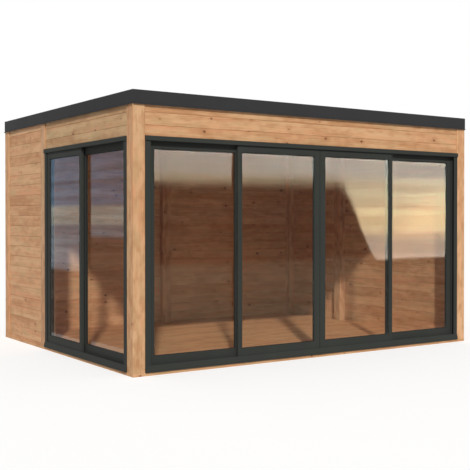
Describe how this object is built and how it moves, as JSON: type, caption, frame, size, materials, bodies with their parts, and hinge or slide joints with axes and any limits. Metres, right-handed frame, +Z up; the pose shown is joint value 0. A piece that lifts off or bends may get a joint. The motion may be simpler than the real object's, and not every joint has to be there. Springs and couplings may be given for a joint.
{
  "type": "garden shed",
  "caption": "Flat-roofed timber garden shed with boarded walls between square posts, a dark roof edge and wide sliding glass doors on the front and the left side.",
  "frame": {"origin": "on the ground, under the middle of the plan", "axes": "+X along the front to the right as seen from outside, -Y out of the front, +Z up"},
  "size_m": [4.202, 3.242, 2.5],
  "materials": {
    "timber": "planed softwood, oiled",
    "rough_timber": "planed softwood",
    "floor": "planed boards",
    "roof_cover": "matt sheet",
    "roof_trim": "matt powder coat",
    "door_frame": "fine matt powder coat",
    "glazing": "clear"
  },
  "bodies": {
    "shed": {"base_ends": "rough_timber", "base_sides": "rough_timber", "floor_joists": "rough_timber", "floor_deck": "floor", "post_front_left": "timber", "post_front_right": "timber", "post_back_left": "timber", "post_back_right": "timber", "post_left_mid": "timber", "post_right_mid": "timber", "post_back_mid": "timber", "wall_left_rear": "timber", "wall_right_front": "timber", "wall_right_rear": "timber", "wall_back_left": "timber", "wall_back_right": "timber", "header_front": "timber", "header_left": "timber", "wall_plates": "rough_timber", "roof_joists": "rough_timber", "roof_deck": "rough_timber", "roof_cover": "roof_cover", "trim_front": "roof_trim", "trim_back": "roof_trim", "trim_left": "roof_trim", "trim_right": "roof_trim", "front_head": "door_frame", "front_sill": "door_frame", "front_jambs": "door_frame", "side_head": "door_frame", "side_sill": "door_frame", "side_jambs": "door_frame"},
    "front_door_1": {"front_leaf_1": "door_frame", "front_glass_1": "glazing"},
    "front_door_2": {"front_leaf_2": "door_frame", "front_glass_2": "glazing"},
    "front_door_3": {"front_leaf_3": "door_frame", "front_glass_3": "glazing"},
    "front_door_4": {"front_leaf_4": "door_frame", "front_glass_4": "glazing"},
    "side_door_1": {"side_leaf_1": "door_frame", "side_glass_1": "glazing"},
    "side_door_2": {"side_leaf_2": "door_frame", "side_glass_2": "glazing"}
  },
  "joints": [
    {"name": "front_slide_1", "type": "slide", "parent": "shed", "child": "front_door_1", "axis": [-1, 0, 0], "range_m": [-0.9, 0]},
    {"name": "front_slide_2", "type": "slide", "parent": "shed", "child": "front_door_2", "axis": [-1, 0, 0], "range_m": [0, 0.9]},
    {"name": "front_slide_3", "type": "slide", "parent": "shed", "child": "front_door_3", "axis": [1, 0, 0], "range_m": [0, 0.9]},
    {"name": "front_slide_4", "type": "slide", "parent": "shed", "child": "front_door_4", "axis": [1, 0, 0], "range_m": [-0.9, 0]},
    {"name": "side_slide_1", "type": "slide", "parent": "shed", "child": "side_door_1", "axis": [0, -1, 0], "range_m": [0, 0.81]},
    {"name": "side_slide_2", "type": "slide", "parent": "shed", "child": "side_door_2", "axis": [0, -1, 0], "range_m": [-0.81, 0]}
  ]
}
